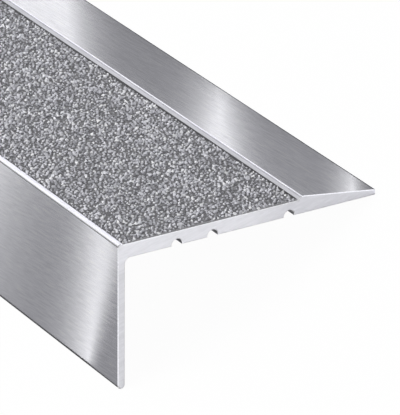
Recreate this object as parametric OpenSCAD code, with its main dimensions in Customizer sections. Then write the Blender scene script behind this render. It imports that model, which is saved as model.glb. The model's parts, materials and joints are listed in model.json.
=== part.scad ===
// Ramp-back stair nosing: an extruded aluminium section with a riser leg in front, a shallow
// recess that holds a bonded grit strip, and a ramp behind it that runs down to the tread.
// It is stored as it lies on a level floor: on the toe of the leg and the tip of the ramp.
// X runs along the length, Y from the front to the back and Z up. Sizes are in millimetres.

/* [Stock] */
// Length that the nosing is sold in
stock_l = 1000; // [300:10:3600]

/* [Riser leg] */
// Height of the front face, from the toe of the leg to the top of the front lip
front_h = 39.5; // [25:0.5:60]
// Thickness of the leg, which is also the width of its round toe
leg_t = 2; // [1.6:0.1:3.5]
// Radius of the fillet between the leg and the plate
inner_r = 1.6; // [0.5:0.1:3]
// Radius of the front edge, between the front face and the lip
nose_r = 0.8; // [0.2:0.05:1]

/* [Tread plate] */
// Thickness of the plate under the grit strip
plate_t = 3.8; // [3:0.1:6]
// Width of the lip in front of the grit strip
lip_w = 1.5; // [1.1:0.05:4]
// Height of the lip above the floor of the recess
lip_h = 0.3; // [0.1:0.05:1]

/* [Grit strip] */
// Width of the strip
strip_w = 50; // [40:1:75]
// Thickness of the strip, to the mean height of its grit
strip_t = 0.4; // [0.3:0.05:1]
// Gap between the strip and the metal, at each of its long edges
strip_gap = 0.2; // [0.1:0.05:0.5]

/* [Ramp] */
// Rise of the slanted step, from the floor of the recess to the crest of the ramp
step_rise = 1; // [0.6:0.05:2.5]
// Depth that the slanted step takes up
step_run = 1; // [0.4:0.05:3]
// Depth of the ramp, from its crest to its tip
ramp_run = 22.1; // [12:0.1:40]
// Thickness of the blunt tip
tip_t = 1.45; // [1:0.05:2.5]
// Radius of the two edges of the tip
tip_r = 0.3; // [0.1:0.05:0.45]
// Radius of the crest
crest_r = 0.4; // [0.1:0.05:0.5]

/* [Glue grooves] */
// Width of a groove at its mouth
groove_w = 3.1; // [2:0.1:4]
// Height of a groove's straight sides, between its mouth and its round bottom
groove_side = 0.15; // [0:0.05:0.6]
// Distance from the front face to the first groove
groove_first = 16.8; // [9:0.1:20]
// Distance from the first groove to the second
groove_pitch = 10.3; // [6:0.1:12]
// Distance of the last groove in front of the step
groove_back = 2.5; // [2.2:0.1:5]

/* [Hidden] */
$fn = 64;

// The section's own axes: u from the front face to the back, v up from the underside of the plate
lip_v = plate_t + lip_h;
toe_v = lip_v - front_h;
toe_r = leg_t / 2;
recess_end = lip_w + strip_w + 2 * strip_gap;
crest = [recess_end + step_run, plate_t + step_rise];
tread_depth = crest.x + ramp_run;
groove_r = groove_w / 2;
groove_at = [groove_first, groove_first + groove_pitch, recess_end - groove_back];

// Rest on the floor: the floor touches the round of the toe and the lower round of the tip
toe_centre = [toe_r, toe_v + toe_r];
tip_low_centre = [tread_depth - tip_r, tip_r];
span = tip_low_centre - toe_centre;
rest_angle = atan2(span.y, span.x) - asin((tip_r - toe_r) / norm(span));

// The corners of the section, in order, with their edges still sharp
outline = [
    [0, toe_v],
    [0, lip_v],
    [lip_w, lip_v],
    [lip_w, plate_t],
    [recess_end, plate_t],
    crest,
    [tread_depth, tip_t],
    [tread_depth, 0],
    [leg_t + inner_r, 0],
    [leg_t, -inner_r],
    [leg_t, toe_v],
];
toe_front_corner = 0;
nose_corner = 1;
crest_corner = 5;
tip_top_corner = 6;
tip_low_corner = 7;
toe_back_corner = 10;

function unit(a) = a / norm(a);

// Geometry of the round on one corner of the outline, seen from that corner: where the round
// leaves each side, and its centre
function neighbour(i, step) = outline[(i + step + len(outline)) % len(outline)];
function side(i, step) = unit(neighbour(i, step) - outline[i]);
function inward(i) = unit(side(i, -1) + side(i, 1));
function half_angle(i) = acos(side(i, -1) * side(i, 1)) / 2;
function round_end(i, step, r) = side(i, step) * r / tan(half_angle(i));
function round_centre(i, r) = inward(i) * r / sin(half_angle(i));

// A point of the section after it is turned to lie on the floor
function laid(p) = [
    p.x * cos(rest_angle) + p.y * sin(rest_angle),
    p.y * cos(rest_angle) - p.x * sin(rest_angle),
];

// Middle of what the section covers on the floor, so that the part is centred on its origin
front_y = laid(toe_centre).x - toe_r;
tip_top_centre = outline[tip_top_corner] + round_centre(tip_top_corner, tip_r);
back_y = laid(tip_top_centre).x + tip_r;
floor_centre = [(front_y + back_y) / 2, laid(toe_centre).y - toe_r];

// What a round takes off a sharp corner, from a little way outside the corner
module corner_waste(i, r) {
    translate(outline[i]) difference() {
        polygon([-inward(i) * r, round_end(i, -1, r), round_end(i, 1, r)]);
        translate(round_centre(i, r)) circle(r);
    }
}

// One groove in the underside: straight sides, then a round bottom
module groove() {
    translate([0, groove_side]) circle(groove_r);
    translate([-groove_r, -groove_r]) square([groove_w, groove_r + groove_side]);
}

module section() {
    difference() {
        polygon(outline);
        translate([leg_t + inner_r, -inner_r]) circle(inner_r);
        corner_waste(toe_front_corner, toe_r);
        corner_waste(toe_back_corner, toe_r);
        corner_waste(nose_corner, nose_r);
        corner_waste(crest_corner, crest_r);
        corner_waste(tip_top_corner, tip_r);
        corner_waste(tip_low_corner, tip_r);
        for (u = groove_at) translate([u, 0]) groove();
    }
}

// Extrudes a section along X and lays it on the floor
module lay_down() {
    rotate([90, 0, 90])
        linear_extrude(stock_l, center = true)
            translate(-floor_centre) rotate(-rest_angle) children();
}

module nosing_extrusion() {
    color([0.80, 0.81, 0.83]) lay_down() section();
}

module grit_strip() {
    color([0.46, 0.46, 0.48]) lay_down()
        translate([lip_w + strip_gap, plate_t]) square([strip_w, strip_t]);
}

nosing_extrusion();
grit_strip();
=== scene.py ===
# %% [markdown]
# A stair nosing is a length of extruded aluminium that protects the edge of a step. This lesson
# dresses the CAD model of one: a satin metal section with sawn ends, and a strip of coarse grit
# that is bonded into its recess. The frame gives every solid in metres and in its final place.

# %% Load the frame
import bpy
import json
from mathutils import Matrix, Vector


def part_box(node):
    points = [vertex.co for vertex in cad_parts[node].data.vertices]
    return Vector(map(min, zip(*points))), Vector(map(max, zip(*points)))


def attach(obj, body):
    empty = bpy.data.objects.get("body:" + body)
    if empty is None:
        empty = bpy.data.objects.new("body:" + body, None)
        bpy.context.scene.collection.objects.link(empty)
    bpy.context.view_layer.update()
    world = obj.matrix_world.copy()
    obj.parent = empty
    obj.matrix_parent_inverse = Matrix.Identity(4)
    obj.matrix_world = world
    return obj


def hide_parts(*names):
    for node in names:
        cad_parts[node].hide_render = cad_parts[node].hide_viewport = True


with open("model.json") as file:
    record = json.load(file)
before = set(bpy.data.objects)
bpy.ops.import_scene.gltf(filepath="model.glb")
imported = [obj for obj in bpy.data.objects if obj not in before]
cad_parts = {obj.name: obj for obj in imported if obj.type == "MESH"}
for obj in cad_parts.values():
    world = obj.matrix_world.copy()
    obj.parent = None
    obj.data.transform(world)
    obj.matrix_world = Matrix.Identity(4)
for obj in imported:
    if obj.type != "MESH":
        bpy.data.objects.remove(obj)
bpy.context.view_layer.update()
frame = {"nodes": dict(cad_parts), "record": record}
print("CAD nodes:", sorted(frame["nodes"]))

# %% [markdown]
# The nosing lies on its toe and on the tip of its ramp, so its section is turned. It is easier to
# think in the section's own axes: u from the front face to the back, and v up from the underside
# of the plate. The two faces that are glued to the stair give these axes, so they are read from
# the record's mounts instead of being typed in again.

# %% Axes of the section
import json
import math

import bmesh
import bpy
from mathutils import Matrix, Vector

MM = 0.001
LEG_T = 2.0 * MM
mounts = {mount["name"]: mount for mount in frame["record"]["mounts"]}
tread_face = mounts["tread_bond_face"]
riser_face = mounts["riser_bond_face"]
u_axis = Vector(riser_face["axis"])
v_axis = -Vector(tread_face["axis"])
x_axis = Vector((1, 0, 0))
u_start = u_axis.dot(Vector(riser_face["pos_m"])) - LEG_T
v_start = v_axis.dot(Vector(tread_face["pos_m"]))
half_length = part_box("nosing_extrusion")[1].x


def at(along, u, v):
    """The point of the frame at these places along the length and in the section, in metres."""
    return x_axis * along + u_axis * (u_start + u) + v_axis * (v_start + v)


print("u axis", tuple(u_axis), "v axis", tuple(v_axis), "half length", half_length)

# %% [markdown]
# These are the section's main lines, repeated from the CAD source because materials and pieces
# need them: the lip in front of the grit, the recess, the slanted step behind it and the ramp.

# %% Lines of the section
PLATE_T = 3.8 * MM
LIP_W = 1.5 * MM
LIP_V = 4.1 * MM
STRIP_W = 50.0 * MM
STRIP_START = 1.7 * MM
RECESS_END = 51.9 * MM
CREST_U = 52.9 * MM
CREST_V = 4.8 * MM
TIP_U = 75.0 * MM
TIP_V = 1.45 * MM
RAMP_SLOPE = (CREST_V - TIP_V) / (TIP_U - CREST_U)
TOE_V = -35.4 * MM
print("ramp falls", round(math.degrees(math.atan(RAMP_SLOPE)), 1), "degrees to its tip")

# %% [markdown]
# The camera stands far away behind a long lens, above the sawn end and in front of the leg. Its
# place and aim were found by fitting the section's corners to the picture. Blender fits the
# sensor to the longer side of the picture, so the focal length follows from the picture's height.

# %% Camera
PICTURE = (400, 415)
FOCAL_PX = 4514.7
SENSOR_MM = 36.0
CLIP_START = 0.05
CAMERA_ROLL = math.radians(-0.478)
EYE_PLACE = (0.85269, -0.50273, 0.47162)
AIM_PLACE = (-0.00892, 0.02881, 0.0)


def past_end(place):
    """The point this far past the sawn end, at this u and at this height over the plate."""
    return at(half_length + place[0], place[1], PLATE_T + place[2])


eye = past_end(EYE_PLACE)
aim = past_end(AIM_PLACE)
sight = (aim - eye).normalized()
level_right = sight.cross(v_axis).normalized()
upright = level_right.cross(sight)
camera_right = level_right * math.cos(CAMERA_ROLL) - upright * math.sin(CAMERA_ROLL)
camera_up = upright * math.cos(CAMERA_ROLL) + level_right * math.sin(CAMERA_ROLL)

lens = bpy.data.cameras.new("picture_lens")
lens.sensor_width = SENSOR_MM
lens.lens = FOCAL_PX * SENSOR_MM / max(PICTURE)
lens.clip_start = CLIP_START
camera = bpy.data.objects.new("picture_camera", lens)
turn = Matrix((camera_right, camera_up, -sight)).transposed()
camera.matrix_world = Matrix.Translation(eye) @ turn.to_4x4()
bpy.context.scene.collection.objects.link(camera)
bpy.context.scene.camera = camera
bpy.context.scene.view_settings.view_transform = "Standard"
print("lens", round(lens.lens, 1), "mm at", tuple(round(c, 3) for c in eye))

# %% [markdown]
# Materials are node graphs, and a graph is easier to read as arithmetic. The class below wraps one
# output of a node. Python's operators add Math nodes, and its node method adds any other node:
# first the settings, then the values or links of the sockets.

# %% Shader arithmetic


class Signal:
    """One output socket of a material's nodes."""

    def __init__(self, socket):
        self.socket = socket
        self.tree = socket.id_data

    def node(self, kind, settings, sockets, out=0):
        made = self.tree.nodes.new(kind)
        for name, value in settings.items():
            if name == "stops":
                set_stops(made.color_ramp, value)
            else:
                setattr(made, name, value)
        for name, value in sockets.items():
            if isinstance(value, Signal):
                self.tree.links.new(value.socket, made.inputs[name])
            else:
                made.inputs[name].default_value = value
        return Signal(made.outputs[out])

    def math(self, operation, first, second=0.0):
        return self.node("ShaderNodeMath", {"operation": operation}, {0: first, 1: second})

    def __add__(self, other):
        return self.math("ADD", self, other)

    def __radd__(self, other):
        return self.math("ADD", other, self)

    def __sub__(self, other):
        return self.math("SUBTRACT", self, other)

    def __rsub__(self, other):
        return self.math("SUBTRACT", other, self)

    def __mul__(self, other):
        return self.math("MULTIPLY", self, other)

    def __rmul__(self, other):
        return self.math("MULTIPLY", other, self)

    def __gt__(self, other):
        return self.math("GREATER_THAN", self, other)

    def __lt__(self, other):
        return self.math("LESS_THAN", self, other)


def set_stops(ramp, stops):
    """Gives a colour ramp its stops, as pairs of place and colour."""
    while len(ramp.elements) < len(stops):
        ramp.elements.new(1.0)
    for element, (place, colour) in zip(ramp.elements, stops):
        element.position = place
        element.color = colour


print("shader arithmetic is ready")

# %% [markdown]
# Every finish starts the same way: a material, its Principled shader with the values that are the
# same all over, and the place on the piece. The place is read in the section's axes, so a pattern
# follows the metal's length and width instead of the floor's.

# %% Start of a finish


def dot(place, axis):
    return place.node("ShaderNodeVectorMath", {"operation": "DOT_PRODUCT"}, {0: place, 1: axis}, "Value")


def new_finish(name, fixed):
    """A material, its shader, and the signals for the place along, u and v on its piece."""
    material = bpy.data.materials.new(name)
    material.use_nodes = True
    shader = material.node_tree.nodes["Principled BSDF"]
    for socket, value in fixed.items():
        shader.inputs[socket].default_value = value
    coordinates = material.node_tree.nodes.new("ShaderNodeTexCoord")
    place = Signal(coordinates.outputs["Object"])
    along = dot(place, x_axis)
    u = dot(place, u_axis) - u_start
    v = dot(place, v_axis) - v_start
    return material, shader, (along, u, v)


def feed(shader, socket, signal):
    shader.id_data.links.new(signal.socket, shader.inputs[socket])


print("finishes read", ("along", "u", "v"))

# %% [markdown]
# A finish is mostly patterns and choices between them. These helpers name the few that come back:
# a grey, noise with its own scale along the length, a soft change from one place to another, a
# pattern brought to a range of values, a choice by a mask, the same choice for colours, a tone on a
# colour, and bumps. A Mix node has sockets for every kind of data, so those for colours get names.

# %% Patterns and choices
MIX_FACTOR, MIX_FIRST, MIX_SECOND, MIX_RESULT = 0, 6, 7, 2


def grey(level, blue=1.0):
    """A grey as a colour, with its blue raised or lowered."""
    return (level, level, level * blue, 1.0)


def noise(along, u, v, cycles, detail=2.0):
    """Soft noise from 0 to 1, with so many cycles a metre along the length and across it."""
    stretched = {0: along * cycles[0], 1: u * cycles[1], 2: v * cycles[1]}
    vector = along.node("ShaderNodeCombineXYZ", {}, stretched)
    return vector.node("ShaderNodeTexNoise", {}, {"Vector": vector, "Scale": 1.0, "Detail": detail})


def fade(value, start, end):
    """A change from 0 where the value is the start to 1 where it is the end."""
    return value.node("ShaderNodeMapRange", {}, {"Value": value, "From Min": start, "From Max": end})


def spread(pattern, lowest, extent):
    """A pattern from 0 to 1, brought to a lowest value and this far above it."""
    return lowest + extent * pattern


def choose(mask, first, second):
    """The first signal where the mask is 0, and the second where it is 1."""
    return first * (1 - mask) + second * mask


def mix_colour(mask, first, second):
    """The first colour where the mask is 0, and the second where it is 1."""
    sockets = {MIX_FACTOR: mask, MIX_FIRST: first, MIX_SECOND: second}
    return mask.node("ShaderNodeMix", {"data_type": "RGBA"}, sockets, MIX_RESULT)


def times_tone(colour, tone):
    """A colour times a tone that is the same for its red, green and blue."""
    shade = tone.node("ShaderNodeCombineColor", {}, {0: tone, 1: tone, 2: tone})
    settings = {"data_type": "RGBA", "blend_type": "MULTIPLY"}
    return tone.node(
        "ShaderNodeMix", settings, {MIX_FACTOR: 1.0, MIX_FIRST: colour, MIX_SECOND: shade}, MIX_RESULT
    )


def bumps(height, depth):
    """The normal of a surface whose height, from 0 to 1, stands for this depth."""
    return height.node("ShaderNodeBump", {}, {"Strength": 1.0, "Distance": depth, "Height": height})


print("a middle grey is", grey(0.5))

# %% [markdown]
# The real section leaves the die bright and is then brushed on the faces that show: the front of
# the leg, the lip and the ramp. Inside the recess and underneath it keeps the duller skin that the
# die left. Under the lip and under the crest a thin dark line is painted into the metal's colour: a
# painted dark reflection at the foot of each round. Its two ends are sawn, and their rims are filed.
# These could be materials of their own on chosen faces, but the painted lines lie in the middle of a
# face. So one metal shows all the finishes and the painted lines, and masks made from the place on
# the section say where each one lies.

# %% Where the finishes of the metal and its painted dark lines lie
SAWN_DEPTH = 0.05 * MM
FILED_EDGE = 0.2 * MM
FILED_DEPTH = 1.02 * FILED_EDGE
MID_V = 2.0 * MM
RECESS_FRONT = LIP_W - 0.1 * MM
BRUSHED_CREST = CREST_U - 0.15 * MM
DARK_CREST = CREST_U - 0.30 * MM
DARK_LIP_FOOT = LIP_V - 0.82 * MM
DARK_LIP_TOP = LIP_V - 0.46 * MM

aluminium, metal, (along, u, v) = new_finish("satin_aluminium", {"Metallic": 1.0})
from_middle = along.math("ABSOLUTE", along)
sawn_end = from_middle > half_length - SAWN_DEPTH
filed_rim = (from_middle > half_length - FILED_DEPTH) - sawn_end
ramp_mid = 0.5 * (CREST_V - RAMP_SLOPE * (u - CREST_U))
above_mid = v > along.math("MINIMUM", ramp_mid, MID_V)
front_side = u < 0.5 * LEG_T
in_recess = (u > RECESS_FRONT) * (u < BRUSHED_CREST) * above_mid
shown = along.math("MAXIMUM", above_mid, front_side) - in_recess
# The next two masks place the painted dark reflections under the crest and under the lip.
crest_reflection_mask = (u > DARK_CREST) * (u < BRUSHED_CREST) * above_mid
lip_reflection_mask = (v > DARK_LIP_FOOT) * (v < DARK_LIP_TOP) * front_side
print("masks:", len(aluminium.node_tree.nodes), "nodes")

# %% [markdown]
# Each tool leaves its own lines. The brush leaves short strokes that run almost along the length, a
# few degrees askew, so they slant across the leg and the ramp, with finer hairlines among them. The
# die draws long straight lines, and the saw leaves faint slanted marks on the ends. All of them
# could be drawn one by one, but noise that is stretched along the lines gives them at once.

# %% Brush, die and blade lines
RAMP_SKEW = math.tan(math.radians(4.0))
LEG_SKEW = math.tan(math.radians(5.0))
BRUSH_CYCLES = (190.0, 1750.0)
HAIR_CYCLES = (240.0, 5000.0)
DIE_CYCLES = (4.0, 1500.0)
BLADE_CYCLES = (1.0, 1900.0)
BLADE_ANGLE = math.radians(15.0)
BLADE_STRETCH = 0.15
PLAIN_DETAIL = 1.0

askew_u = u - RAMP_SKEW * along * (1 - front_side)
askew_v = v - LEG_SKEW * along * front_side
brush_lines = noise(along, askew_u, askew_v, BRUSH_CYCLES, PLAIN_DETAIL)
hair_lines = noise(along, askew_u, askew_v, HAIR_CYCLES, PLAIN_DETAIL)
die_lines = noise(along, u, v, DIE_CYCLES)
blade_path = u * math.cos(BLADE_ANGLE) + v * math.sin(BLADE_ANGLE)
blade_across = v * math.cos(BLADE_ANGLE) - u * math.sin(BLADE_ANGLE)
blade_marks = noise(along, blade_path * BLADE_STRETCH, blade_across, BLADE_CYCLES)
print("brush lines are", round(1 / BRUSH_CYCLES[0] / MM, 1), "mm long")

# %% [markdown]
# Bare metal takes its colour from what it mirrors, so its own tones are plain greys with a touch of
# blue: pale where it is brushed, sawn or filed, and duller where the die's skin is left. The masks
# choose a tone for each finish. The sawn ends are a little darker on the leg and under the ramp. The
# lines lighten and darken the tone, change the gloss and stand up to a hundredth of a millimetre
# proud.

# %% Tone, gloss and relief of the metal
BRUSHED = grey(0.925, 1.045)
SKIN = grey(0.61, 1.05)
# The next two greys are painted dark reflections, for the lines under the crest and the lip.
PAINTED_CREST_REFLECTION = grey(0.48, 1.05)
PAINTED_LIP_REFLECTION = grey(0.35, 1.05)
SAWN = grey(0.91, 1.05)
SAWN_LEG = grey(0.81, 1.05)
SAWN_RAMP = grey(0.79, 1.06)
FILED = grey(0.93, 1.02)
LEG_FADE = (0.0, -4.0 * MM)
RAMP_FADE = (RECESS_END - 15.0 * MM, RECESS_END - 2.5 * MM)
BRUSH_TONE = (0.83, 0.34)
BLADE_TONE = (0.88, 0.24)
BRUSHED_ROUGH = (0.12, 0.05)
SKIN_ROUGH = (0.30, 0.12)
SAWN_ROUGH = (0.36, 0.14)
HAIR_SHARE = 0.35
LINE_DEPTH = 0.008 * MM

faces = mix_colour(shown, SKIN, BRUSHED)
drawn = mix_colour(lip_reflection_mask, mix_colour(crest_reflection_mask, faces, PAINTED_CREST_REFLECTION), PAINTED_LIP_REFLECTION)
leg_tone = mix_colour(fade(v, *LEG_FADE), SAWN, SAWN_LEG)
sawn_tone = mix_colour(fade(u, *RAMP_FADE), leg_tone, SAWN_RAMP)
whole = mix_colour(filed_rim, mix_colour(sawn_end, drawn, sawn_tone), FILED)
line_tone = choose(sawn_end, spread(brush_lines, *BRUSH_TONE), spread(blade_marks, *BLADE_TONE))
feed(metal, "Base Color", times_tone(whole, line_tone))

long_rough = choose(shown, spread(die_lines, *SKIN_ROUGH), spread(brush_lines, *BRUSHED_ROUGH))
feed(metal, "Roughness", choose(sawn_end, long_rough, spread(blade_marks, *SAWN_ROUGH)))
relief = choose(sawn_end, brush_lines + HAIR_SHARE * hair_lines, blade_marks)
feed(metal, "Normal", bumps(relief, LINE_DEPTH))
print("aluminium:", len(aluminium.node_tree.nodes), "nodes")

# %% [markdown]
# The extrusion's shape comes from the CAD solid. A saw leaves a sharp burr on each cut end, and a
# file takes it off, which is why the outline of the end catches the light. So a copy of the solid
# is merged, its flat faces are joined, and the edges round its two ends get a narrow bevel. Long
# faces as narrow as the facets of a round are shaded smooth, and the flats stay flat.

# %% Extrusion with filed ends
MERGE = 0.001 * MM
FLAT_ANGLE = math.radians(0.5)
END_MARGIN = 0.01 * MM
FACET_W = 0.28 * MM
ROUND_ANGLE = math.radians(25)


def in_cut_end(face):
    return all(abs(abs(vert.co.x) - half_length) < END_MARGIN for vert in face.verts)


def bevel_edges(shape, edges, width, segments):
    """Bevels edges of a bmesh by a width."""
    bmesh.ops.bevel(
        shape,
        geom=edges,
        offset=width,
        offset_type="OFFSET",
        affect="EDGES",
        segments=segments,
        profile=0.5,
        material=-1,
        clamp_overlap=False,
    )


profile = bmesh.new()
profile.from_mesh(frame["nodes"]["nosing_extrusion"].data)
bmesh.ops.remove_doubles(profile, verts=profile.verts, dist=MERGE)
bmesh.ops.dissolve_limit(profile, angle_limit=FLAT_ANGLE, verts=profile.verts, edges=profile.edges)
cut_ends = [face for face in profile.faces if in_cut_end(face)]
rim = list(dict.fromkeys(edge for face in cut_ends for edge in face.edges))
bevel_edges(profile, rim, FILED_EDGE, segments=1)
for face in profile.faces:
    face.smooth = face.calc_area() < FACET_W * 2 * half_length and not in_cut_end(face)
for edge in profile.edges:
    edge.smooth = len(edge.link_faces) == 2 and edge.calc_face_angle(0.0) < ROUND_ANGLE
print("cut ends:", len(cut_ends), "faces with", len(rim), "edges")

# %% [markdown]
# A bmesh becomes a piece of the object when it has a name, a material and the body that it rides
# on. This piece stands for the CAD solid, which is then hidden.

# %% Finish a piece


def finish_piece(name, shape, material):
    """Makes a bmesh a piece of the object, with its material, and lets it ride on the frame."""
    mesh = bpy.data.meshes.new(name)
    shape.to_mesh(mesh)
    shape.free()
    mesh.materials.clear()
    mesh.materials.append(material)
    piece = bpy.data.objects.new(name, mesh)
    bpy.context.scene.collection.objects.link(piece)
    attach(piece, "root")
    return piece


extrusion = finish_piece("filed_extrusion", profile, aluminium)
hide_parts("nosing_extrusion")
print("extrusion:", len(extrusion.data.polygons), "faces")

# %% [markdown]
# The strip is grit on a carrier: a film, a bed of grey resin, and mineral grains that are strewn
# into the resin while it is wet. The resin is dark between the grains and full of smaller dust,
# which a fine cell pattern gives without any geometry. A narrow border at the back stays bare, and
# its near-black grey is painted shade at the foot of the step wall. The saw leaves the resin paler
# at the ends.

# %% Resin finish
BED_BACK = STRIP_START + STRIP_W + 0.1 * MM
BED_END = half_length - 0.26 * MM
BARE_BORDER = 0.9 * MM
SAWN_RESIN_DEPTH = 0.08 * MM
LUMP_CYCLES = (1300.0, 1300.0)
LUMP_DETAIL = 4.0
LUMP_DEPTH = 0.15 * MM
DUST_CYCLES = 2600.0
RESIN_TONES = [(0.0, grey(0.04, 1.1)), (0.55, grey(0.12, 1.08)), (1.0, grey(0.33, 1.03))]
# The border is bare resin, and its near-black grey is painted shade at the foot of the step wall.
BORDER_SHADE_TONE = grey(0.03, 1.1)
SAWN_RESIN_TONE = grey(0.34, 1.05)
RESIN_ROUGH = (0.35, 0.3)

resin, bed_shader, (along, u, v) = new_finish("grit_resin", {"Metallic": 0.0})
lumps = noise(along, u, v, LUMP_CYCLES, LUMP_DETAIL)
dust_place = along.node("ShaderNodeCombineXYZ", {}, {0: along, 1: u, 2: v})
dust_sockets = {"Vector": dust_place, "Scale": DUST_CYCLES}
dust = dust_place.node("ShaderNodeTexVoronoi", {}, dust_sockets, "Color")
dust_value = dust.node("ShaderNodeRGBToBW", {}, {0: dust})
resin_tone = dust_value.node("ShaderNodeValToRGB", {"stops": RESIN_TONES}, {0: dust_value})
shade_bordered = mix_colour(u > BED_BACK - BARE_BORDER, resin_tone, BORDER_SHADE_TONE)
sawn_resin = along.math("ABSOLUTE", along) > BED_END - SAWN_RESIN_DEPTH
feed(bed_shader, "Base Color", mix_colour(sawn_resin, shade_bordered, SAWN_RESIN_TONE))
feed(bed_shader, "Roughness", spread(lumps, *RESIN_ROUGH))
feed(bed_shader, "Normal", bumps(lumps, LUMP_DEPTH))
print("resin:", len(resin.node_tree.nodes), "nodes")

# %% [markdown]
# The bed itself is a thin sheet with soft edges. A cube is scaled to its size, bevelled, and then
# turned and moved into the recess, so that the finished mesh holds its own place.

# %% Resin bed
BED_T = 0.40 * MM
BED_FRONT = STRIP_START - 0.05 * MM
BED_EDGE = 0.06 * MM

section_turn = Matrix((x_axis, u_axis, v_axis)).transposed().to_4x4()
bed = bmesh.new()
bmesh.ops.create_cube(bed, size=1.0)
bmesh.ops.scale(bed, vec=(2 * BED_END, BED_BACK - BED_FRONT, BED_T), verts=bed.verts)
bevel_edges(bed, list(bed.edges), BED_EDGE, segments=2)
bed_centre = at(0, (BED_FRONT + BED_BACK) / 2, PLATE_T + BED_T / 2)
bmesh.ops.transform(bed, matrix=Matrix.Translation(bed_centre) @ section_turn, verts=bed.verts)
grit_bed = finish_piece("grit_resin_bed", bed, resin)
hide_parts("grit_strip")
print("resin bed:", len(grit_bed.data.polygons), "faces")

# %% [markdown]
# The grains are crushed mineral: angular, of all greys, with flat faces that flash. Each one takes
# its grey from a number that is stored on it when it is strewn, so the finish only looks it up.

# %% Grain finish
GRAIN_TONES = [
    (0.0, grey(0.37, 1.09)),
    (0.3, grey(0.57, 1.08)),
    (0.75, grey(0.78, 1.07)),
    (1.0, grey(0.98, 1.02)),
]
PIT_CYCLES = (5200.0, 5200.0)
GRAIN_ROUGH = (0.22, 0.3)

grain, grain_shader, (along, u, v) = new_finish("mineral_grains", {"Metallic": 0.0})
strewn = along.node("ShaderNodeAttribute", {"attribute_name": "grain_tone"}, {}, "Fac")
feed(grain_shader, "Base Color", strewn.node("ShaderNodeValToRGB", {"stops": GRAIN_TONES}, {0: strewn}))
feed(grain_shader, "Roughness", spread(noise(along, u, v, PIT_CYCLES), *GRAIN_ROUGH))
print("grain tones:", len(GRAIN_TONES))

# %% [markdown]
# Tens of thousands of grains could be a particle system, but Geometry Nodes keeps the recipe
# readable, and these two helpers keep it short. The first adds any node, with its settings before
# its sockets. The second gives a random value, which needs a seed so that every run is the same.

# %% Nodes for the grain recipe
RANDOM_SOCKETS = {"FLOAT_VECTOR": (0, 0), "FLOAT": (2, 1), "INT": (4, 2)}


def add(tree, kind, settings, sockets):
    """One Geometry Nodes node, with its settings first and then its sockets."""
    made = tree.nodes.new(kind)
    for name, value in settings.items():
        setattr(made, name, value)
    for name, value in sockets.items():
        if isinstance(value, bpy.types.NodeSocket):
            tree.links.new(value, made.inputs[name])
        else:
            made.inputs[name].default_value = value
    return made


def random_value(tree, kind, low, high, seed):
    """A Random Value node's output for this kind of data."""
    first, out = RANDOM_SOCKETS[kind]
    sockets = {first: low, first + 1: high, "Seed": seed}
    return add(tree, "FunctionNodeRandomValue", {"data_type": kind}, sockets).outputs[out]


print("kinds of random value:", sorted(RANDOM_SOCKETS))

# %% [markdown]
# A crushed grain has few faces, all at odd angles. A low ball with two rings is a double pyramid,
# and its corners are pushed about at random. Three such shapes, with four to six sides, are enough,
# because every grain is turned and stretched on its own.

# %% Crushed shapes
GRAIN_R = 0.44 * MM
GRAIN_RINGS = 2
GRAIN_SIDES = (4, 5, 6)
CORNER_PUSH = 0.35 * GRAIN_R
CORNER_SEED = 40


def crushed_shape(tree, sides):
    """A double pyramid with its corners pushed about, as one instance."""
    ball_sockets = {"Segments": sides, "Rings": GRAIN_RINGS, "Radius": GRAIN_R}
    ball = add(tree, "GeometryNodeMeshUVSphere", {}, ball_sockets)
    seed = CORNER_SEED + sides
    push = random_value(tree, "FLOAT_VECTOR", (-CORNER_PUSH,) * 3, (CORNER_PUSH,) * 3, seed)
    pushed_sockets = {"Geometry": ball.outputs["Mesh"], "Offset": push}
    pushed = add(tree, "GeometryNodeSetPosition", {}, pushed_sockets)
    return add(tree, "GeometryNodeGeometryToInstance", {}, {0: pushed.outputs[0]}).outputs[0]


print("grain radius", GRAIN_R, "m")

# %% [markdown]
# Grains fall as they like, so no two lie the same way. Each point gets one of the crushed shapes,
# turned any way, stretched a little and sized at random. Every draw has a seed of its own, so that
# a grain's size says nothing about its turn.

# %% Place the grains
STRETCH = (0.8, 1.2)
SIZES = (0.62, 1.3)
PICK_SEED = 10
TURN_SEED = 20
STRETCH_SEED = 30
SIZE_SEED = 40


def random_size(tree, field):
    """A size for a grain, stretched a little differently each way."""
    low, high = STRETCH
    stretch = random_value(tree, "FLOAT_VECTOR", (low,) * 3, (high,) * 3, field + STRETCH_SEED)
    scale = random_value(tree, "FLOAT", *SIZES, field + SIZE_SEED)
    sockets = {0: stretch, "Scale": scale}
    return add(tree, "ShaderNodeVectorMath", {"operation": "SCALE"}, sockets).outputs[0]


def place_grains(tree, field, points):
    """Crushed shapes on the points, each picked, turned and sized at random."""
    shapes = tree.nodes.new("GeometryNodeJoinGeometry")
    for sides in GRAIN_SIDES:
        tree.links.new(crushed_shape(tree, sides), shapes.inputs[0])
    last_shape = len(GRAIN_SIDES) - 1
    full_turn = (math.tau,) * 3
    sockets = {
        "Points": points,
        "Instance": shapes.outputs[0],
        "Pick Instance": True,
        "Instance Index": random_value(tree, "INT", 0, last_shape, field + PICK_SEED),
        "Rotation": random_value(tree, "FLOAT_VECTOR", (0,) * 3, full_turn, field + TURN_SEED),
        "Scale": random_size(tree, field),
    }
    return add(tree, "GeometryNodeInstanceOnPoints", {}, sockets).outputs[0]


print("grains measure", SIZES[0], "to", SIZES[1], "of the crushed shapes")

# %% [markdown]
# The whole recipe strews points on a sheet that stay about a grain apart, places the grains on them,
# stores a tone on each grain, and makes all of it real mesh with flat faces.

# %% Grain recipe
GRAIN_GAP = 0.74 * MM
GRAINS_PER_M2 = 3.2e6
TONE_SEED = 50


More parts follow.
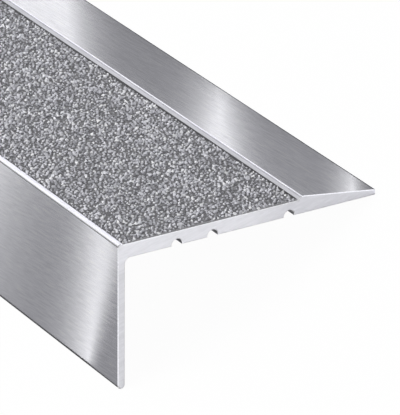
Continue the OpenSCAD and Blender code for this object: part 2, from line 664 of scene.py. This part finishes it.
def strew_recipe(field):
    """The node group that turns a field's flat sheet into its grains."""
    tree = bpy.data.node_groups.new(f"strewn_grit_{field}", "GeometryNodeTree")
    tree.interface.new_socket("Sheet", in_out="INPUT", socket_type="NodeSocketGeometry")
    tree.interface.new_socket("Grains", in_out="OUTPUT", socket_type="NodeSocketGeometry")
    sheet = tree.nodes.new("NodeGroupInput").outputs[0]
    points = add(
        tree,
        "GeometryNodeDistributePointsOnFaces",
        {"distribute_method": "POISSON"},
        {"Mesh": sheet, "Distance Min": GRAIN_GAP, "Density Max": GRAINS_PER_M2, "Seed": field},
    )
    placed = place_grains(tree, field, points.outputs["Points"])
    tone = random_value(tree, "FLOAT", 0.0, 1.0, field + TONE_SEED)
    toned = add(
        tree,
        "GeometryNodeStoreNamedAttribute",
        {"data_type": "FLOAT", "domain": "INSTANCE"},
        {"Geometry": placed, "Name": "grain_tone", "Value": tone},
    )
    real = add(tree, "GeometryNodeRealizeInstances", {}, {0: toned.outputs[0]})
    flat = add(tree, "GeometryNodeSetShadeSmooth", {}, {0: real.outputs[0], "Shade Smooth": False})
    coat = {"Geometry": flat.outputs[0], "Material": grain}
    coated = add(tree, "GeometryNodeSetMaterial", {}, coat)
    last = tree.nodes.new("NodeGroupOutput")
    tree.links.new(coated.outputs[0], last.inputs[0])
    return tree


print("grains lie at least", GRAIN_GAP, "m apart")

# %% [markdown]
# The roll that the strip came from was slit along its edges, and the saw went through metal and
# grit together. So the grains that stand past those planes are cut off and closed again.

# %% Slit and saw the grains
SLIT_FRONT = BED_FRONT - 0.05 * MM
SLIT_BACK = BED_BACK - 0.95 * MM
SAWN_OFF = half_length - 0.20 * MM
CUTS = [
    (at(0, SLIT_FRONT, 0), -u_axis),
    (at(0, SLIT_BACK, 0), u_axis),
    (at(-SAWN_OFF, 0, 0), -x_axis),
    (at(SAWN_OFF, 0, 0), x_axis),
]


def cut_off(mesh):
    """Takes off what stands past the slit edges and the sawn ends, and closes the cut grains."""
    shape = bmesh.new()
    shape.from_mesh(mesh)
    for point, outward in CUTS:
        parts = list(shape.verts) + list(shape.edges) + list(shape.faces)
        made = bmesh.ops.bisect_plane(
            shape, geom=parts, plane_co=point, plane_no=outward, clear_outer=True
        )
        rims = [part for part in made["geom_cut"] if isinstance(part, bmesh.types.BMEdge)]
        bmesh.ops.holes_fill(shape, edges=rims)
    shape.to_mesh(mesh)
    shape.free()


print("grit between", SLIT_FRONT, "and", SLIT_BACK, "m behind the front face")

# %% [markdown]
# Each field starts as one flat sheet on the resin, and the middles of the grains sit near the top of
# the resin, so about half of each grain stands proud. The modifier is applied, and each field keeps
# only its grains. The strip is made in six fields, so that no mesh grows too large.

# %% Strew the grit
FIELDS = 6
GRAIN_LIFT = 0.06 * MM
STREWN_PAST = 0.3 * MM

field_length = 2 * half_length / FIELDS
field_width = SLIT_BACK - SLIT_FRONT + 2 * STREWN_PAST
strip_middle = (SLIT_FRONT + SLIT_BACK) / 2
for field in range(FIELDS):
    sheet = bmesh.new()
    bmesh.ops.create_grid(sheet, x_segments=1, y_segments=1, size=0.5)
    bmesh.ops.scale(sheet, vec=(field_length, field_width, 1.0), verts=sheet.verts)
    field_middle = -half_length + (field + 0.5) * field_length
    middle = at(field_middle, strip_middle, PLATE_T + BED_T + GRAIN_LIFT)
    bmesh.ops.transform(sheet, matrix=Matrix.Translation(middle) @ section_turn, verts=sheet.verts)
    grains = finish_piece(f"grit_grains_{field + 1}", sheet, grain)
    strew = grains.modifiers.new("strew", "NODES")
    strew.node_group = strew_recipe(field)
    bpy.context.view_layer.update()
    evaluated = grains.evaluated_get(bpy.context.evaluated_depsgraph_get())
    strewn_mesh = bpy.data.meshes.new_from_object(evaluated)
    grains.modifiers.clear()
    grains.data = strewn_mesh
    cut_off(strewn_mesh)
    triangles = sum(len(face.vertices) - 2 for face in grains.data.polygons)
    print(grains.name, "has", triangles, "triangles")

# %% [markdown]
# A catalogue picture stands on white, but white all round would wash the metal out. So the floor and
# the room look one way to the camera and another way in the metal. A Light Path node tells the two
# apart, and a Mix Shader chooses between a real surface and plain white.

# %% Tell the camera from a reflection


def ray_kinds(tree):
    """Signals that are 1 for what is seen directly or through glass, and for what is mirrored."""
    rays = tree.nodes.new("ShaderNodeLightPath")
    seen = Signal(rays.outputs["Is Camera Ray"]) + Signal(rays.outputs["Is Transmission Ray"])
    return seen, Signal(rays.outputs["Is Glossy Ray"])


def mix_shaders(tree, factor, first, second):
    """Gives a material two shaders, mixed by a factor."""
    blend = tree.nodes.new("ShaderNodeMixShader")
    tree.links.new(factor.socket, blend.inputs[0])
    tree.links.new(first.outputs[0], blend.inputs[1])
    tree.links.new(second.outputs[0], blend.inputs[2])
    tree.links.new(blend.outputs[0], tree.nodes["Material Output"].inputs[0])


print("rays are told apart as", ("seen", "mirrored"))

# %% [markdown]
# The floor is plain and pale. The camera sees it as white, with only a trace of the shadow. Metal
# sees more of the real floor, so that the narrow gap under the toe and the grooves stay dark.

# %% Floor
SEEN_WHITE = 0.97
MIRRORED_WHITE = 0.08
FLOOR_TONE = grey(0.86)
FLOOR_ROUGH = 0.9
FLOOR_HALF = 8.0

floor_paint = bpy.data.materials.new("pale_floor")
floor_paint.use_nodes = True
floor_tree = floor_paint.node_tree
floor_shader = floor_tree.nodes["Principled BSDF"]
floor_shader.inputs["Base Color"].default_value = FLOOR_TONE
floor_shader.inputs["Roughness"].default_value = FLOOR_ROUGH
floor_shader.inputs["Specular IOR Level"].default_value = 0.0
seen, glossy = ray_kinds(floor_tree)
white = floor_tree.nodes.new("ShaderNodeEmission")
mix_shaders(floor_tree, seen * SEEN_WHITE + glossy * MIRRORED_WHITE, floor_shader, white)


def stage_piece(name, shape, material):
    """Makes a bmesh a part of the stage."""
    mesh = bpy.data.meshes.new(name)
    shape.to_mesh(mesh)
    shape.free()
    mesh.materials.append(material)
    thing = bpy.data.objects.new(name, mesh)
    bpy.context.scene.collection.objects.link(thing)
    return thing


floor_sheet = bmesh.new()
bmesh.ops.create_grid(floor_sheet, x_segments=1, y_segments=1, size=FLOOR_HALF)
floor = stage_piece("studio_floor", floor_sheet, floor_paint)
print("floor:", tuple(floor.dimensions))

# %% [markdown]
# The light is an even studio: a pale room, and two large soft lamps that are aimed at the near end.
# One hangs over the far half of the length, so that the lip and the edges shine. The other is the
# main light, high over the middle and in front. It is hidden from reflections, because its image in
# the metal would be a bright spot. The camera sees the room as white, and the metal sees it as light
# grey.

# %% Room and lamps
ROOM_LIGHT = 0.45
MIRRORED_ROOM = 0.65
BACK_LAMP = 0.6
BACK_LAMP_SIZE = 1.0
BACK_LAMP_PLACE = Vector((-0.92, -0.12, 0.74))
KEY_LAMP = 22.5
KEY_LAMP_SIZE = 1.05
KEY_LAMP_PLACE = Vector((-0.52, -0.68, 1.58))
LIT_U = 0.03

room = bpy.data.worlds.new("studio_room")
bpy.context.scene.world = room
room.use_nodes = True
backdrop = room.node_tree.nodes["Background"]
backdrop.inputs["Color"].default_value = grey(1.0)
seen, glossy = ray_kinds(room.node_tree)
room_strength = ROOM_LIGHT + (1 - ROOM_LIGHT) * seen + (MIRRORED_ROOM - ROOM_LIGHT) * glossy
room.node_tree.links.new(room_strength.socket, backdrop.inputs["Strength"])


def soft_lamp(name, place, target, size, watts):
    """A square area lamp that the camera doesn't see, aimed at a point."""
    light = bpy.data.lights.new(name, "AREA")
    light.size = size
    light.energy = watts
    lamp = bpy.data.objects.new(name, light)
    lamp.location = place
    lamp.rotation_euler = (target - place).to_track_quat("-Z", "Y").to_euler()
    lamp.visible_camera = False
    bpy.context.scene.collection.objects.link(lamp)
    return lamp


near_end = at(half_length, LIT_U, 0)
soft_lamp("back_lamp", near_end + BACK_LAMP_PLACE, near_end, BACK_LAMP_SIZE, BACK_LAMP)
key_lamp = soft_lamp("key_lamp", near_end + KEY_LAMP_PLACE, near_end, KEY_LAMP_SIZE, KEY_LAMP)
key_lamp.visible_glossy = False
print("lamps:", BACK_LAMP, KEY_LAMP, "watts")

# %% [markdown]
# Satin metal has almost no colour of its own: it shows what stands round it. In a plain room it
# would be flat and pale, so a photographer lays grey cards beside it, and their soft reflections
# give the bands on the ramp and on the leg. A card could be moved about by trial, but it is quicker
# to work backwards: a point of the picture is followed to the metal, mirrored there, and carried on
# to the plane of the card.

# %% Follow a point of the picture
RAMP_PIXEL = (200, 110)


def through(pixel):
    """The direction in which the camera looks through a point of the picture."""
    right = pixel[0] - PICTURE[0] / 2
    down = pixel[1] - PICTURE[1] / 2
    return (sight * FOCAL_PX + camera_right * right - camera_up * down).normalized()


def meet(start, direction, point, normal):
    """Where a line meets the plane that has this point and this normal."""
    return start + direction * ((point - start).dot(normal) / direction.dot(normal))


def mirrored(pixel, face, card):
    """The point of the card's plane that the metal face shows at a point of the picture."""
    face_point, face_normal = face
    look = through(pixel)
    hit = meet(eye, look, face_point, face_normal)
    bounce = look - 2 * look.dot(face_normal) * face_normal
    return meet(hit, bounce, *card)


ramp_normal = (v_axis + u_axis * RAMP_SLOPE).normalized()
ramp_face = (at(0, CREST_U, CREST_V), ramp_normal)
front_face = (at(0, 0, 0), -u_axis)
print("pixel", RAMP_PIXEL, "shows the ramp at", meet(eye, through(RAMP_PIXEL), *ramp_face))

# %% [markdown]
# A card only has to be seen in the metal. It glows evenly at its own grey, so it needs no light,
# and towards its sides it turns clear, so that its reflection has soft edges. Cards are part of the
# stage. Neither the camera nor the diffuse light sees them, and they cast no shadow.

# %% Lay a card
CARD_BLUE = 1.04
CARD_CUTS = 12
CARD_CORNERS = ((0, 0), (1, 0), (1, 1), (0, 1))


def card_paint(name, level, soft_left, soft_right, cover=1.0):
    """Grey that fades out, steeper and steeper, to the card's left and right over these shares."""
    paint = bpy.data.materials.new(name)
    paint.use_nodes = True
    tree = paint.node_tree
    place = Signal(tree.nodes.new("ShaderNodeUVMap").outputs[0])
    across = place.node("ShaderNodeSeparateXYZ", {}, {0: place}, 0)
    left = 1 - fade(across, 0.0, soft_left)
    right = 1 - fade(1 - across, 0.0, soft_right)
    solid = (1 - left * left * left) * (1 - right * right * right) * cover
    glow = tree.nodes.new("ShaderNodeEmission")
    glow.inputs["Color"].default_value = grey(level, CARD_BLUE)
    clear = tree.nodes.new("ShaderNodeBsdfTransparent")
    mix_shaders(tree, solid, clear, glow)
    return paint


def lay_card(name, level, soft, corners):
    """A card through four points, that only reflections see."""
    shape = bmesh.new()
    verts = [shape.verts.new(corner) for corner in corners]
    bmesh.ops.contextual_create(shape, geom=verts)
    shape.faces.ensure_lookup_table()
    across = shape.loops.layers.uv.new("across")
    for loop in shape.faces[0].loops:
        loop[across].uv = CARD_CORNERS[verts.index(loop.vert)]
    bmesh.ops.subdivide_edges(shape, edges=shape.edges, cuts=CARD_CUTS, use_grid_fill=True)
    card = stage_piece(name, shape, card_paint(name, level, *soft))
    card.visible_camera = False
    card.visible_diffuse = False
    card.visible_shadow = False
    print(name, "spans", tuple(round(side, 3) for side in card.dimensions))


print("a card has", (CARD_CUTS + 1) ** 2, "faces")

# %% [markdown]
# One row of cards leans back behind the tip and shows in the ramp, and one leans forward in front of
# the toe and shows in the leg. A card is written as the columns of the picture between which it
# should show, at the top and at the foot of its face. A point across a face is given as a share of
# the way between the face's two long edges, so that cards can reach past them.

# %% Where the cards show
BACK_CARD_TILT = math.radians(40)
FRONT_CARD_TILT = math.radians(38)
BACK_CARD_GAP = 4.0 * MM
FRONT_CARD_GAP = 2.6 * MM
CARD_T = 0.3 * MM
RAMP_EDGES = (((72, 35), (308, 191)), ((98, 14), (360, 182)))
LEG_EDGES = (((0, 165), (117, 250)), ((0, 296), (117, 382)))

back_card = (
    Vector((0, at(0, TIP_U + BACK_CARD_GAP, 0).y, 0)),
    Vector((0, -math.sin(BACK_CARD_TILT), math.cos(BACK_CARD_TILT))),
)
front_card = (
    Vector((0, at(0, -FRONT_CARD_GAP, TOE_V).y, 0)),
    Vector((0, math.sin(FRONT_CARD_TILT), math.cos(FRONT_CARD_TILT))),
)


def row_on(edge, x):
    """The row of the picture in which an edge crosses column x."""
    (x0, y0), (x1, y1) = edge
    return y0 + (x - x0) * (y1 - y0) / (x1 - x0)


def across_face(edges, x, share):
    """The point of the picture in column x that lies this share of the way between two edges."""
    first, second = [row_on(edge, x) for edge in edges]
    return (x, first + (second - first) * share)


def lifted(plane, layer):
    """The plane of a card that lies on others, a card's thickness higher for each of them."""
    point, normal = plane
    return (point + normal * (layer * CARD_T), normal)


print("middle of the leg at the left edge of the picture:", across_face(LEG_EDGES, 0, 0.5))

# %% [markdown]
# The list gives each card's name, its grey, the shares of its width that are soft on the left and on
# the right, and its columns at the top and at the foot. The gaps between cards become the bright
# bands. The cards of a row overlap, so each lies a card's thickness higher than the one before.

# %% Grey cards
SHARP = 0.001
RAMP_SHARES = (-0.8, 1.8)
LEG_SHARES = (-0.35, 1.08)
RAMP_CARDS = [
    ("ramp_card_far", 0.26, (0.50, 0.46), (73, 202), (61, 237)),
    ("ramp_card_near", 0.29, (0.52, 0.34), (231, 346), (211, 358)),
    ("ramp_card_tip", 0.24, (1.0, SHARP), (357, 385), (349, 378)),
]
FRONT_CARDS = [
    ("front_card_far", 0.28, (1.0, 0.41), (-5, 106), (-77, 87)),
    ("front_card_near", 0.28, (0.45, SHARP), (121, 165), (86, 122)),
]


def lay_row(cards, edges, shares, face, plane):
    """Lays a row of cards that show in a face between columns of the picture."""
    for layer, (name, level, soft, top, foot) in enumerate(cards):
        top_share, foot_share = shares
        pixels = [across_face(edges, x, top_share) for x in top]
        pixels += [across_face(edges, x, foot_share) for x in reversed(foot)]
        corners = [mirrored(pixel, face, lifted(plane, layer)) for pixel in pixels]
        lay_card(name, level, soft, corners)


lay_row(RAMP_CARDS, RAMP_EDGES, RAMP_SHARES, ramp_face, back_card)
lay_row(FRONT_CARDS, LEG_EDGES, LEG_SHARES, front_face, front_card)

# %% [markdown]
# More cards draw lines. A dark one lies on the floor just in front of the toe and is a painted
# shadow there, which the foot of the leg mirrors as a dark line. A faint one behind the tip paints a
# little shade on the ramp towards its back edge.

# %% Dark cards
TOE_CARD_TONE = 0.08
TOE_CARD_W = 3.4 * MM
TOE_CARD_Z = 0.1 * MM
TIP_SHADE_TONE = 0.05
TIP_SHADE_COVER = 0.10
TIP_SHADE_Z = 4.0 * MM


def flat_card(name, level, x_range, y_range, height):
    """A sharp card that lies flat at a height over the floor."""
    corners = [Vector((x_range[i], y_range[j], height)) for i, j in CARD_CORNERS]
    lay_card(name, level, (SHARP, SHARP), corners)


def on_card(card, along, height):
    """The point of a tilted card's plane at a place along the length and a height."""
    point, normal = card
    return Vector((along, point.y - (height - point.z) * normal.z / normal.y, height))


# The toe card is a painted shadow on the floor in front of the toe.
toe_back = at(0, 0.5 * LEG_T, TOE_V).y
toe_front = at(0, 0, TOE_V).y - TOE_CARD_W
whole_length = (-half_length, half_length)
flat_card("toe_shadow_card", TOE_CARD_TONE, whole_length, (toe_front, toe_back), TOE_CARD_Z)

shade_plane = lifted(back_card, len(RAMP_CARDS))
shade_corners = [
    on_card(shade_plane, -half_length, 0.0),
    on_card(shade_plane, -half_length, TIP_SHADE_Z),
    on_card(shade_plane, half_length, TIP_SHADE_Z),
    on_card(shade_plane, half_length, 0.0),
]
lay_card("tip_shade_card", TIP_SHADE_TONE, (SHARP, 1.0, TIP_SHADE_COVER), shade_corners)

# %% [markdown]
# The room is grey to the metal, so two white screens stand in it. One is at the far end of the
# length, and shines between the grey cards and on the lip. The other is behind the near end, and
# lights the filed edges of the plate. Two pale cards lie on the floor. The filed edge of the leg is
# turned towards the one in front of the sawn end. The other is a strip behind the tip, and keeps
# the ramp's round back edge from showing the tip's own shadow.

# %% Screens and pale cards
END_SCREEN = ((-2.5, -1.0), (-2.5, 3.0), (0.0, 2.6))
END_SCREEN_TONE = 1.0
BACK_SCREEN = ((0.6, 3.0), (4.2, 3.0), (0.2, 3.6))
BACK_SCREEN_TONE = 1.15
PALE_CARD_Z = 0.2 * MM
RIM_CARD_TONE = 1.15
RIM_CARD_X = (half_length + 0.004, half_length + 0.70)
RIM_CARD_Y = (-0.70, -0.05)
TIP_CARD_TONE = 1.0
TIP_CARD_X = (-half_length, half_length + 5.0 * MM)
tip_back = at(0, TIP_U, 0).y
TIP_CARD_Y = (tip_back + 0.05 * MM, tip_back + 5.0 * MM)


def screen(name, level, start, end, heights):
    """A bright card that stands upright between two places on the floor."""
    foot, top = heights
    corners = [Vector((*start, foot)), Vector((*end, foot)), Vector((*end, top)), Vector((*start, top))]
    lay_card(name, level, (SHARP, SHARP), corners)


screen("end_screen", END_SCREEN_TONE, *END_SCREEN)
screen("back_screen", BACK_SCREEN_TONE, *BACK_SCREEN)
flat_card("rim_card", RIM_CARD_TONE, RIM_CARD_X, RIM_CARD_Y, PALE_CARD_Z)
flat_card("tip_card", TIP_CARD_TONE, TIP_CARD_X, TIP_CARD_Y, PALE_CARD_Z)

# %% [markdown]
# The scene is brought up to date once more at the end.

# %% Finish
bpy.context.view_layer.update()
